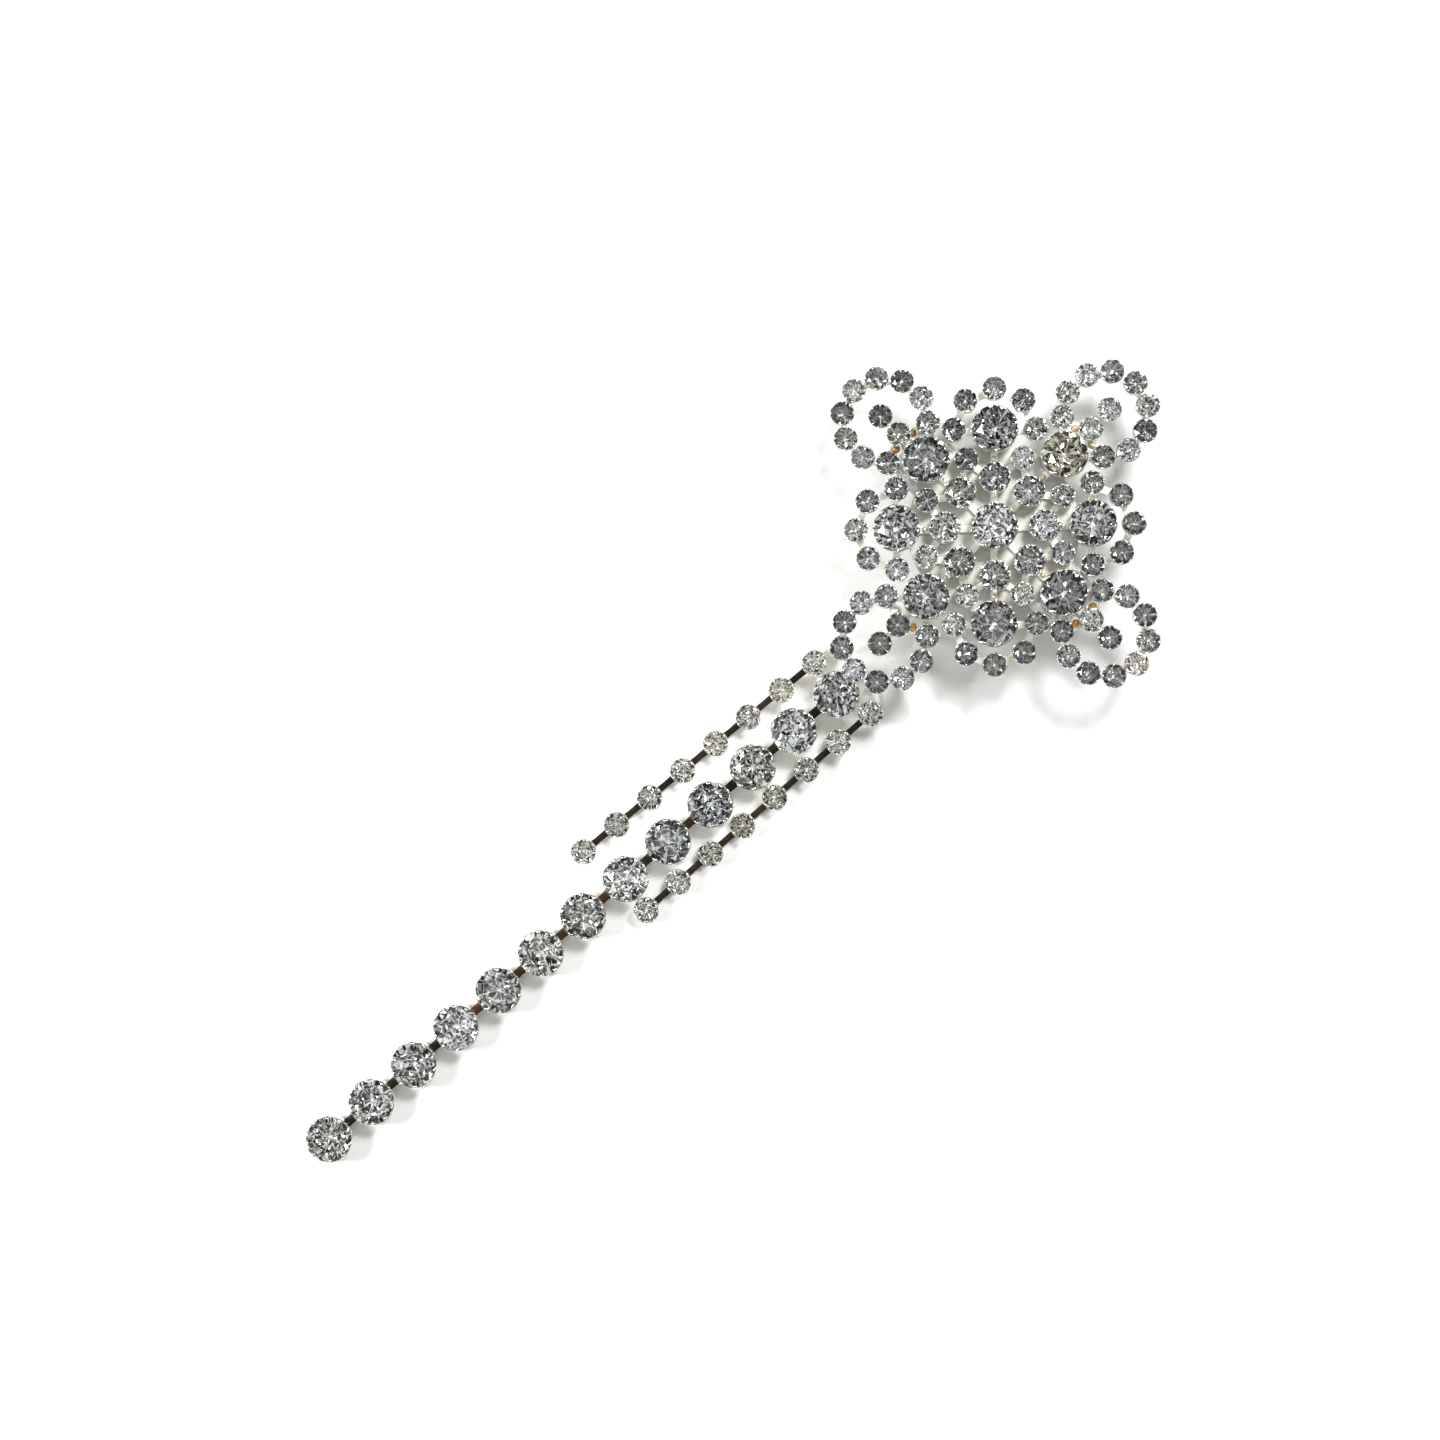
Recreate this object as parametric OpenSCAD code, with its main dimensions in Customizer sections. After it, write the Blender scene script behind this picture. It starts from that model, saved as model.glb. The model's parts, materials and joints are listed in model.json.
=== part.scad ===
// Rhinestone hair clip: a square ornament of set stones on an alligator clip, with a tassel of three
// cup-chain strands. The origin is the middle of the upper jaw's gripping face, under the centre stone.
// +Z is up, away from the hair, +Y points away from the tassel, and the strands run towards -Y.
// The clip lies at rest on its lever, so that the ornament leans by head_tilt about Y, higher at +X.

/* [Stones] */
// Diameter of the large stones
large_d = 5.85; // [5.6:0.05:5.9]
// Diameter of the medium stones
medium_d = 3.9; // [3.5:0.1:4.1]
// Diameter of the small stones in the ornament
small_d = 3.0; // [2.7:0.1:3.0]
// Diameter of the small stones in the tassel
strand_d = 3.2; // [2.9:0.1:3.2]

/* [Ornament] */
// Distance from the centre to the medium stones
inner_ring_r = 6.45; // [6.3:0.05:6.5]
// Distance from the centre to the small filler stones
filler_r = 9.65; // [9.5:0.05:9.8]
// Distance from the centre to the large stones of the outer ring
outer_ring_r = 12.8; // [12.6:0.1:12.9]
// Distance from a large stone to the small stones of its trefoil
trefoil_r = 5.2; // [5.0:0.1:5.4]
// Distance from the centre to the middle of each corner loop
loop_centre_r = 20.4; // [20.4:0.05:20.6]
// Radius of each corner loop, through its stones
loop_r = 5.5; // [5.5:0.05:5.6]
// Distances from the centre to the two stones of a loop's stalk
stalk_r = [17.8, 21.2];
// Length of the ornament along Y, as a share of the distances above
along = 0.985; // [0.98:0.005:1]
// Width of the ornament along X, as a share of the distances above
across = 0.957; // [0.957:0.003:0.975]
// Radius of the round plate behind the middle of the ornament
plate_r = 11; // [10.5:0.1:11.2]
// Thickness of the frame strips
frame_t = 0.5; // [0.4:0.1:0.6]
// Width of the frame strips
strip_w = 0.9; // [0.7:0.1:1]

/* [Clip] */
// Overall length of the clip
clip_l = 32; // [32:0.5:34]
// Width of the top jaw
clip_w = 8; // [7.8:0.1:8.4]
// Thickness of the clip's sheet steel
clip_t = 0.7; // [0.6:0.1:0.8]
// How far the ornament leans while the clip lies on a table, in degrees
head_tilt = 3.5; // [3:0.1:4]

/* [Tassel] */
// Number of cups in the centre strand
centre_count = 13; // [8:1:13]
// Number of cups in each side strand
side_count = 8; // [4:1:8]
// Distance between the cups of the centre strand
centre_pitch = 7.3; // [7.2:0.05:7.6]
// Distance between the cups of a side strand
side_pitch = 5.55; // [5.4:0.05:5.8]
// Angle by which the tassel lies to the left of -Y, in degrees
tassel_yaw = 4.3; // [0:0.1:5]
// Further angle by which the left strand spreads, in degrees
left_spread = 2; // [0:0.1:2]
// Distance from the centre strand to each side strand
strand_gap = 4.85; // [4.85:0.05:5.2]

/* [Hidden] */
$fn = 48;

// Cups and stones, as shares of the stone's diameter d unless they are lengths
large_wall = 0.12;
medium_wall = 0.11;
small_wall = 0.09;
seat_clearance = 0.01;
floor_t = 0.2;
pavilion_depth = 0.4;
girdle_band = 0.03;
crown_height = 0.15;
culet_r = 0.1;
table_r = 0.29;
lip_r = 0.41;
foot_r = 0.78;
belly_r = 0.92;
belly_z = 0.25;
wall_top_z = 0.55;
rim_gap = 0.02;
prong_gap = 0.6;
crown_slope = crown_height / (0.5 - table_r);

function cup_r(d, wall) = d / 2 + seat_clearance + wall;
function girdle_z(d) = 0.35 * d + 0.6;
function crown_z(d, r) = girdle_z(d) + girdle_band * d + (d / 2 - r) * crown_slope;

// Heights in the ornament's own frame, above the gripping face
jaw_z = clip_t;
plate_t = 0.6;
frame_z = jaw_z + plate_t;
cup_z = frame_z + frame_t;

// Frame pads under the cups
core_pad_r = 2.1;
medium_pad_r = 1.45;
small_pad_r = 1.05;
bead_pad_r = 0.8;

// Corner loops: nine stones, from -loop_span to loop_span about the outward direction
loop_steps = 4;
loop_span = 138.5;
corner_angles = [0, 90, 180, 270];
trefoil_angles = [45, 135, 225, 315];
trefoil_spread = [-90, -45, 0, 45, 90];
ring_angles = [for (k = [0:7]) 45 * k];
filler_angles = [for (k = [0:7]) 45 * k + 22.5];

// Solder beads beside the large corner stones, and on the spokes
bead_offset = 4.05;
bead_angle = 22;
corner_bead_r = 0.55;
spoke_bead_r = 0.4;
spoke_bead_at = 9.1;

// Clip, seen from the side in X and Z, in its own frame: its nose is at +X and its lever at -X
nose_x = clip_l / 2;
nose_low_z = -1.2;
nose_flat = 1;
nose_slant = 2.4;
jaw_gap = 0.15;
throat_x = 4;
throat_z = -4.2;
throat_corner = 0.2;
lever_end_x = -16.5;
hinge_x = -4;
hinge_z = -2.3;
pin_r = 0.75;
pin_fit = 0.01;
running_fit = 0.05;
pin_head_r = 1.15;
pin_head_t = 0.4;
ear_r = 1.5;
ear_t = 0.5;
ear_gap = 0.15;
lower_w = clip_w - 2 * ear_t - 2 * ear_gap;
tooth_pitch = 1.2;
tooth_h = 0.9;
tooth_count = 8;
first_tooth = 2.5;

// Spring: a coil about the pin, with a leg along each jaw
spring_wire_r = 0.28;
spring_r = 1.15;
spring_turns = 5;
spring_w = 4.2;
leg_l = 7;
leg_gap = 0.05;
upper_knee = [-2.2, 1.55];
lower_knee = [-2.4, -1.3];
coil_points = 14;
coil_first = 4;
coil_last = coil_points * spring_turns - 4;

// The lower jaw's slope towards its nose, its lever's upper and lower face, and the table under it
jaw_slope = (-jaw_gap - throat_z) / (nose_x - nose_flat - throat_x);
function lever_z(x) = throat_z - (throat_x - x) * tan(head_tilt);
function lever_low_z(x) = lever_z(x) - clip_t / cos(head_tilt);
table_z = lever_low_z(0) * cos(head_tilt);

// Tassel
centre_hinge_h = 1.1;
side_hinge_h = 0.6;
centre_hinge_in = 2.3;
side_hinge_in = 1.2;
knuckle_r = 0.3;
small_knuckle_r = 0.22;
fall = 1.5;
centre_falling = 2;
side_falling = 3;
eyelet_r = 0.6;
eyelet_wire_r = 0.2;
eyelet_in = 0.7;
stem_r = 0.25;
hanger_angles = [-35, 0, 35];
knuckle_l = 4.4;
bar_w = 3.6;
slot_w = 5.2;
slot_h = 0.5;
slot_floor = 0.02;
bar_root = 1.2;
knee_l = 0.35;

// Where each strand's first hinge is: side strands start a little before or after the centre one
tassel_dir = [-sin(tassel_yaw), -cos(tassel_yaw)];
tassel_left = [-cos(tassel_yaw), sin(tassel_yaw)];
left_lag = 0.6;
right_lag = -0.56;
centre_start = [0.65, -26.7];
left_start = centre_start + left_lag * tassel_dir + strand_gap * tassel_left;
right_start = centre_start + right_lag * tassel_dir - strand_gap * tassel_left;

// What each entry of a strand's list is
COUNT = 0;
PITCH = 1;
STONE_D = 2;
WALL = 3;
START = 4;
YAW = 5;
HINGE_H = 6;
HINGE_IN = 7;
FALLING = 8;
KNUCKLE_R = 9;
EYELET = 10;
CENTRE = [
    centre_count, centre_pitch, large_d, large_wall, centre_start, tassel_yaw,
    centre_hinge_h, centre_hinge_in, centre_falling, knuckle_r, hanger_angles[1]
];
LEFT = [
    side_count, side_pitch, strand_d, small_wall, left_start, tassel_yaw + left_spread,
    side_hinge_h, side_hinge_in, side_falling, small_knuckle_r, hanger_angles[0]
];
RIGHT = [
    side_count, side_pitch, strand_d, small_wall, right_start, tassel_yaw,
    side_hinge_h, side_hinge_in, side_falling, small_knuckle_r, hanger_angles[2]
];

function link_name(side, i) = str(side, "_link_", i < 9 ? "0" : "", i + 1);

// Places in the ornament's plane
function polar(r, a) = [r * cos(a), r * sin(a)];
function place(r, a) = [across * r * cos(a), along * r * sin(a)];
function ring(r, angles) = [for (a = angles) place(r, a)];
function trefoil(a) = [for (s = trefoil_spread) place(outer_ring_r, a) + polar(trefoil_r, a + s)];
function loop(a) = [
    for (k = [-loop_steps:loop_steps])
        place(loop_centre_r, a) + polar(loop_r, a + k * loop_span / loop_steps)
];
function stalk(a) = [for (r = stalk_r) place(r, a)];
function beads(a) = [
    for (s = [-1, 1]) place(outer_ring_r, a) + polar(bead_offset, a + s * bead_angle)
];

// A cup stands on z = 0: a dish with a rolled lip, cut into four prongs
module cup(d, wall) {
    r = cup_r(d, wall);
    g = girdle_z(d);
    lip_z = crown_z(d, lip_r * d) + rim_gap;
    band_z = g + girdle_band * d + rim_gap;
    gap = prong_gap * d;
    difference() {
        rotate_extrude()
            polygon([
                [0, 0], [foot_r * r, 0], [belly_r * r, belly_z * g], [r, wall_top_z * g], [r, band_z],
                [lip_r * d + 0.3 * wall, lip_z + wall], [lip_r * d, lip_z + wall],
                [lip_r * d, lip_z], [d / 2 + seat_clearance, band_z],
                [r - wall, wall_top_z * g], [belly_r * r - wall, belly_z * g],
                [foot_r * r - wall, floor_t], [0, floor_t]
            ]);
        for (a = [45, 135])
            rotate(a)
                translate([-d, -gap / 2, g])
                    cube([2 * d, gap, d]);
    }
}

// A stone with a pointed back and a flat table, standing in a cup at z = 0
module stone(d) {
    g = girdle_z(d);
    rotate_extrude()
        polygon([
            [0, g - pavilion_depth * d], [culet_r * d, g - pavilion_depth * d],
            [d / 2, g], [d / 2, g + girdle_band * d],
            [table_r * d, crown_z(d, table_r * d)], [0, crown_z(d, table_r * d)]
        ]);
}

// The ornament leans, and the clip under it is turned round so that its lever is at +X
module on_head() {
    rotate([0, -head_tilt, 0])
        children();
}

module on_clip() {
    on_head()
        rotate(180)
            children();
}

module cups(places, d, wall) {
    color("silver")
        on_head()
            for (p = places)
                translate([p.x, p.y, cup_z])
                    cup(d, wall);
}

module stones(places, d) {
    color("lightsteelblue")
        on_head()
            for (p = places)
                translate([p.x, p.y, cup_z])
                    stone(d);
}

// Flat strips between two places, and round pads, as outlines
module strip(p, q, w = strip_w) {
    d = q - p;
    translate(p)
        rotate(atan2(d.y, d.x))
            translate([0, -w / 2])
                square([norm(d), w]);
}

module path_strips(places) {
    for (i = [0:len(places) - 2])
        strip(places[i], places[i + 1]);
}

module pads(places, r) {
    for (p = places)
        translate(p)
            circle(r);
}

module frame_part() {
    color("gainsboro")
        on_head()
            translate([0, 0, frame_z])
                linear_extrude(frame_t)
                    children();
}

// Lattice under the centre, inner ring, fillers and outer ring
module core_frame() {
    frame_part() {
        pads([[0, 0]], core_pad_r);
        pads(ring(outer_ring_r, ring_angles), core_pad_r);
        pads(ring(inner_ring_r, ring_angles), medium_pad_r);
        pads(ring(filler_r, filler_angles), small_pad_r);
        for (a = ring_angles)
            strip([0, 0], place(outer_ring_r, a));
        for (a = filler_angles) {
            strip(place(filler_r, a), place(inner_ring_r, a - 22.5));
            strip(place(filler_r, a), place(inner_ring_r, a + 22.5));
        }
    }
}

// An arc of strips under each trefoil's small stones, tied in to the large stone's pad
module trefoil_frames() {
    frame_part()
        for (a = trefoil_angles)
            difference() {
                union() {
                    path_strips(trefoil(a));
                    pads(trefoil(a), small_pad_r);
                    for (s = [0, 4])
                        strip(place(outer_ring_r, a), trefoil(a)[s]);
                }
                pads([place(outer_ring_r, a)], core_pad_r);
            }
}

module loop_outline(a) {
    difference() {
        union() {
            path_strips(loop(a));
            pads(loop(a), small_pad_r);
            pads(stalk(a), small_pad_r);
            pads(beads(a), bead_pad_r);
            strip(place(outer_ring_r, a), stalk(a)[1]);
            path_strips([loop(a)[0], beads(a)[0], stalk(a)[0], beads(a)[1], loop(a)[2 * loop_steps]]);
            for (p = [loop(a)[0], loop(a)[2 * loop_steps]])
                strip(place(outer_ring_r, a), p);
        }
        pads([place(outer_ring_r, a)], core_pad_r);
    }
}

module loop_frame(a) {
    frame_part()
        loop_outline(a);
}

// Where an eyelet's middle is: on the ornament, and as the ornament leans
eyelet_head_z = frame_z - eyelet_r + eyelet_wire_r;
function eyelet_at(s) =
    let (p = place(loop_centre_r, 270) + polar(loop_r - eyelet_in, 270 + s))
    [p.x, p.y, eyelet_head_z];
function lean(p) = [
    p.x * cos(head_tilt) - p.z * sin(head_tilt),
    p.y,
    p.z * cos(head_tilt) + p.x * sin(head_tilt)
];

module ring_wire(r, wire_r) {
    rotate_extrude()
        translate([r, 0])
            circle(wire_r, $fn = 24);
}

// The lower loop also carries the three eyelets of the tassel
module lower_loop_frame() {
    color("gainsboro")
        on_head() {
            union() {
                translate([0, 0, frame_z])
                    linear_extrude(frame_t)
                        loop_outline(270);
                for (s = hanger_angles)
                    translate(eyelet_at(s))
                        rotate([90, 0, s])
                            rotate([0, 90, 0])
                                ring_wire(eyelet_r, eyelet_wire_r);
            }
        }
}

module bead(r) {
    intersection() {
        sphere(r, $fn = 24);
        translate([-r, -r, 0])
            cube([2 * r, 2 * r, r]);
    }
}

module solder_beads() {
    color("goldenrod")
        on_head()
            translate([0, 0, cup_z]) {
                for (a = corner_angles, p = beads(a))
                    translate(p)
                        bead(corner_bead_r);
                for (a = ring_angles)
                    translate(place(spoke_bead_at, a))
                        bead(spoke_bead_r);
            }
}

module mounting_plate() {
    color("silver")
        on_head()
            translate([0, 0, jaw_z])
                cylinder(r = plate_r, h = plate_t, $fn = 96);
}

// A flat profile in X and Z, made w wide along Y
module profile(w) {
    translate([0, w / 2, 0])
        rotate([90, 0, 0])
            linear_extrude(w)
                children();
}

// An ear is a plate around the pin, tied to its strip by a web
module ear(y, top_z, hole_r) {
    translate([0, y, 0])
        profile(ear_t)
            difference() {
                union() {
                    translate([hinge_x, hinge_z])
                        circle(ear_r);
                    translate([hinge_x - ear_r, min(top_z, hinge_z)])
                        square([2 * ear_r, abs(top_z - hinge_z)]);
                }
                translate([hinge_x, hinge_z])
                    circle(hole_r);
            }
}

module clip_top_jaw() {
    color("silver")
        on_clip() {
            linear_extrude(clip_t)
                union() {
                    square([clip_l - clip_w, clip_w], center = true);
                    for (s = [-1, 1])
                        translate([s * (clip_l - clip_w) / 2, 0])
                            circle(clip_w / 2);
                }
            for (s = [-1, 1])
                ear(s * (clip_w - ear_t) / 2, clip_t / 2, pin_r + pin_fit);
        }
}

// The lower jaw's sheet, from its nose down to the throat and back along the lever
module lower_strip() {
    corner_x = throat_x - throat_corner;
    polygon([
        [nose_x, nose_low_z], [nose_x, -jaw_gap], [nose_x - nose_flat, -jaw_gap],
        [throat_x, throat_z], [lever_end_x, lever_z(lever_end_x)],
        [lever_end_x, lever_low_z(lever_end_x)], [corner_x, lever_low_z(corner_x)],
        [nose_x - nose_slant, nose_low_z]
    ]);
}

module tooth_row() {
    for (i = [0:tooth_count - 1]) {
        x = nose_x - first_tooth - i * tooth_pitch;
        z = -jaw_gap + (x - nose_x + nose_flat) * jaw_slope;
        polygon([
            [x - tooth_pitch / 2, z - clip_t / 2], [x + tooth_pitch / 2, z - clip_t / 2],
            [x, min(z + tooth_h, -jaw_gap)]
        ]);
    }
}

module clip_lower_jaw() {
    ear_y = (lower_w - ear_t) / 2;
    color("silver")
        on_clip() {
            profile(lower_w)
                lower_strip();
            for (s = [-1, 1]) {
                ear(s * ear_y, lever_z(hinge_x) - clip_t / 2, pin_r + running_fit);
                translate([0, s * ear_y, 0])
                    profile(ear_t)
                        tooth_row();
            }
        }
}

module clip_pin() {
    l = clip_w + 2 * running_fit;
    color("lightgray")
        on_clip()
            translate([hinge_x, 0, hinge_z])
                rotate([90, 0, 0]) {
                    cylinder(r = pin_r, h = l + 2 * pin_head_t, center = true);
                    for (s = [-1, 1])
                        translate([0, 0, s * (l + pin_head_t) / 2])
                            cylinder(r = pin_head_r, h = pin_head_t, center = true);
                }
}

function coil_at(t) = [
    hinge_x + spring_r * cos(360 * t),
    spring_w * (t / spring_turns - 0.5),
    hinge_z + spring_r * sin(360 * t)
];
leg_x = hinge_x - leg_l;
spring_route = concat(
    [
        [leg_x, -spring_w / 2, -spring_wire_r - leg_gap],
        [hinge_x + upper_knee.x, -spring_w / 2, hinge_z + upper_knee.y]
    ],
    [for (i = [coil_first:coil_last]) coil_at(i / coil_points)],
    [
        [hinge_x + lower_knee.x, spring_w / 2, hinge_z + lower_knee.y],
        [leg_x, spring_w / 2, lever_z(leg_x) + spring_wire_r + leg_gap]
    ]
);

function unit(v) = v / norm(v);
function tangent(route, i) =
    unit(route[min(i + 1, len(route) - 1)] - route[max(i - 1, 0)]);

// A round wire along a route: a ring of points about each one, joined in order
module wire(route, r, sides = 8) {
    n = len(route);
    points = [
        for (i = [0:n - 1])
            let (t = tangent(route, i), u = unit(cross(t, [0.1, 1, 0.2])), v = cross(t, u))
            for (k = [0:sides - 1])
                route[i] + r * (cos(360 * k / sides) * u + sin(360 * k / sides) * v)
    ];
    walls = [
        for (i = [0:n - 2], k = [0:sides - 1])
            [
                i * sides + k, i * sides + (k + 1) % sides,
                (i + 1) * sides + (k + 1) % sides, (i + 1) * sides + k
            ]
    ];
    ends = [
        [for (k = [sides - 1:-1:0]) k],
        [for (k = [0:sides - 1]) (n - 1) * sides + k]
    ];
    polyhedron(points, concat(walls, ends), convexity = 8);
}

module clip_spring() {
    color("dimgray")
        on_clip()
            wire(spring_route, spring_wire_r);
}

// Tassel. Each link hangs on a hinge and carries the knuckle of the next one
function fall_angle(s, i) = i < s[FALLING] ? asin(fall / (s[FALLING] * s[PITCH])) : 0;
function hinge_height(s, i) =
    table_z + s[HINGE_H] + fall * max(0, s[FALLING] - i) / s[FALLING];
function run_to(s, i) = i == 0 ? 0 : run_to(s, i - 1) + s[PITCH] * cos(fall_angle(s, i - 1));
function hinge_at(s, i) = [
    s[START].x - sin(s[YAW]) * run_to(s, i),
    s[START].y - cos(s[YAW]) * run_to(s, i),
    hinge_height(s, i)
];

// The knuckle's bar leaves the wall behind it and ends in a cross pin at the hinge
module knuckle(r, bar_l) {
    w = bar_w * r;
    rotate([0, 90, 0])
        cylinder(r = r, h = knuckle_l * r, center = true);
    translate([-w / 2, 0, -r / 2])
        cube([w, bar_l, r]);
}

module link(s, i) {
    d = s[STONE_D];
    wall = s[WALL];
    under = min(s[HINGE_H] - floor_t - slot_floor, slot_h);
    bar_l = s[PITCH] - s[HINGE_IN] - cup_r(d, wall) + bar_root * wall;
    has_knuckle = i < s[COUNT] - 1;
    translate(hinge_at(s, i))
        rotate([0, 0, -s[YAW]])
            rotate([fall_angle(s, i), 0, 0]) {
                color("silver") {
                    difference() {
                        translate([0, -s[HINGE_IN], -s[HINGE_H]])
                            cup(d, wall);
                        translate([-slot_w / 2 * s[KNUCKLE_R], 0, -under])
                            cube([slot_w * s[KNUCKLE_R], d, slot_h + under]);
                    }
                    if (has_knuckle)
                        translate([0, -s[PITCH], 0])
                            knuckle(s[KNUCKLE_R], bar_l);
                }
                color("lightsteelblue")
                    translate([0, -s[HINGE_IN], -s[HINGE_H]])
                        stone(d);
            }
}

// Length of the straight part of a hanger's foot, outside the first cup's wall
function foot_l(s) = cup_r(s[STONE_D], s[WALL]) - s[HINGE_IN] + knee_l;

// A hanger: a ring through the eyelet, a stem, and the first knuckle of its strand
module hanger(s) {
    eye = lean(eyelet_at(s[EYELET]));
    first = hinge_at(s, 0);
    r = s[KNUCKLE_R];
    reach = [first.x - eye.x, first.y - eye.y];
    ring_z = eye.z - eyelet_r;
    foot_z = first.z - r / 2;
    color("silver") {
        translate([eye.x, eye.y, ring_z])
            rotate([90, 0, s[EYELET]])
                ring_wire(eyelet_r, eyelet_wire_r);
        translate([eye.x, eye.y, foot_z])
            cylinder(r = stem_r, h = ring_z - eyelet_r - foot_z);
        translate([eye.x, eye.y, foot_z])
            linear_extrude(r)
                strip([0, 0], reach + polar(foot_l(s), 90 - s[YAW]), 2 * stem_r);
        translate(first)
            rotate([0, 0, -s[YAW]])
                knuckle(r, foot_l(s) + stem_r);
    }
}

mounting_plate();
core_frame();
trefoil_frames();
loop_frame(90);  // upper_loop_frame
lower_loop_frame();
loop_frame(180);  // left_loop_frame
loop_frame(0);  // right_loop_frame
solder_beads();
cups([[0, 0]], large_d, large_wall);  // centre_cup
cups(ring(outer_ring_r, ring_angles), large_d, large_wall);  // outer_ring_cups
cups(ring(inner_ring_r, ring_angles), medium_d, medium_wall);  // inner_ring_cups
cups(ring(filler_r, filler_angles), small_d, small_wall);  // filler_cups
cups([for (a = trefoil_angles) each trefoil(a)], small_d, small_wall);  // trefoil_cups
cups(concat(loop(90), stalk(90)), small_d, small_wall);  // upper_loop_cups
cups(concat(loop(270), stalk(270)), small_d, small_wall);  // lower_loop_cups
cups(concat(loop(180), stalk(180)), small_d, small_wall);  // left_loop_cups
cups(concat(loop(0), stalk(0)), small_d, small_wall);  // right_loop_cups
stones([[0, 0]], large_d);  // centre_stone
stones(ring(outer_ring_r, ring_angles), large_d);  // outer_ring_stones
stones(ring(inner_ring_r, ring_angles), medium_d);  // inner_ring_stones
stones(ring(filler_r, filler_angles), small_d);  // filler_stones
stones([for (a = trefoil_angles) each trefoil(a)], small_d);  // trefoil_stones
stones([for (a = corner_angles) each concat(loop(a), stalk(a))], small_d);  // loop_stones
clip_top_jaw();
clip_lower_jaw();
clip_pin();
clip_spring();
hanger(CENTRE);  // centre_hanger
hanger(LEFT);  // left_hanger
hanger(RIGHT);  // right_hanger
for (i = [0:centre_count - 1])
    link(CENTRE, i);
for (i = [0:side_count - 1]) {
    link(LEFT, i);
    link(RIGHT, i);
}
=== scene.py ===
"""A hair clip set with rhinestones, with a tassel of three cup chains, lying on a pale table.

The camera looks straight down, turned so that the tassel runs to the lower left. Stones, cups,
connectors, solder and the spring are rebuilt here in finer detail, each where the frame has it.
"""

import json
import math
import random

import bmesh
import bpy
import numpy as np
from mathutils import Matrix, Vector, noise

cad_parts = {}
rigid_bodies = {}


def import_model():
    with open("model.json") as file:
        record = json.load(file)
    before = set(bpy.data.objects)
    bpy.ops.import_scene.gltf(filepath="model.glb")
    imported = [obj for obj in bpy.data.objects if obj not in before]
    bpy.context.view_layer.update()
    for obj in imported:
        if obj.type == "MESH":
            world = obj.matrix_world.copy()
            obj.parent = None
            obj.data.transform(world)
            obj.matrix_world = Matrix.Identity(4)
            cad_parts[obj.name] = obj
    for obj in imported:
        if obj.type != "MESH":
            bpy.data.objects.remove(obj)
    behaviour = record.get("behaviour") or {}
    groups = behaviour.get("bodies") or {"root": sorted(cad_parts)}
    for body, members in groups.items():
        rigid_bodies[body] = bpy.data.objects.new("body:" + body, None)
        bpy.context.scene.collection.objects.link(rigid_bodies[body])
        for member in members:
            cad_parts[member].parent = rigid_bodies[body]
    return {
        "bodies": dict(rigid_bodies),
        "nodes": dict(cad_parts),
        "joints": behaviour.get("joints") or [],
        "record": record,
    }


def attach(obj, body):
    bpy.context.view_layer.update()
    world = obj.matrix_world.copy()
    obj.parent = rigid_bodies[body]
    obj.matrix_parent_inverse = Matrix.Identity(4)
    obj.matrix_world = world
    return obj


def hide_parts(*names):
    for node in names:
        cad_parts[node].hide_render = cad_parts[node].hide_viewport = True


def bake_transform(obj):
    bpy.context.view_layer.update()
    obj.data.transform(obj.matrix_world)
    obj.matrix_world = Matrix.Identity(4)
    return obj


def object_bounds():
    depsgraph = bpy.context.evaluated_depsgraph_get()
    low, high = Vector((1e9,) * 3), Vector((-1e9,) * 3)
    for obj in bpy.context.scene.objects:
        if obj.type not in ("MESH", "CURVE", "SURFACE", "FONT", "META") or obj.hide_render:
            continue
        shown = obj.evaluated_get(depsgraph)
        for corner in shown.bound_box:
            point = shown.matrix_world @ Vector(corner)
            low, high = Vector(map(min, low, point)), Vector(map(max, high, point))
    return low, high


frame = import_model()
cad_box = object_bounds()
record = frame["record"]
MM = 0.001

# A stone's girdle stands over its cup's base by a share of its diameter and a length in mm
GIRDLE_SHARE, GIRDLE_BASE = 0.35, 0.6

# A stone's cut. Radii and heights are shares of its diameter
FACETS = 8
GIRDLE_R, GIRDLE_BAND = 0.499, 0.03
CROWN_HEIGHT = 0.15
TABLE_R = 0.3
STAR_R, STAR_RISE = 0.41, 1.02
STAR_JITTER = 0.6
PAVILION_DEPTH = 0.39
PAVILION_BREAK_R, BREAK_RISE = 0.25, 0.006
PAVILION_WAIST_R, WAIST_DROP = 0.145, 0.008
CULET_R = 0.05
CUT_JITTER = 0.014
RIDGE_HALF, CULET_RIDGE = 0.005, 0.8
# How far the back may be turned against the front, in steps between facets
CUT_TWIST = 0.45

# Cups. Lengths are in mm, and the prongs' reach is a share of the stone's diameter
CUP_WALLS = {"large": 0.12, "medium": 0.11, "small": 0.09}
CUP_SIDES = 72
CUP_FIT, RIM_OVER = 0.01, 0.02
CUP_FLOOR = 0.2
SCALLOP = 0.07
PRONGS = {"large": 10, "medium": 8, "small": 8}
PRONG_REACH = 0.045
# A prong begins where its wave passes this level, and its sides are steeper than a wave's
PRONG_START, PRONG_SHARPNESS = 0.35, 0.45
# Between prongs the rim dips by this share of the girdle's height
RIM_DIP = 0.07

# How far a stone may sit off its place, in mm, and off level
PLACE_JITTER = 0.04
TILT_JITTER = math.radians(2.2)
LOOP_JITTER, CHAIN_JITTER = 0.8, 0.5


def height(d):
    """Height of a stone's girdle over its cup's base, in mm, for a stone of diameter d mm."""
    return GIRDLE_SHARE * d + GIRDLE_BASE


# ---------------------------------------------------------------- frames and places


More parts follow.
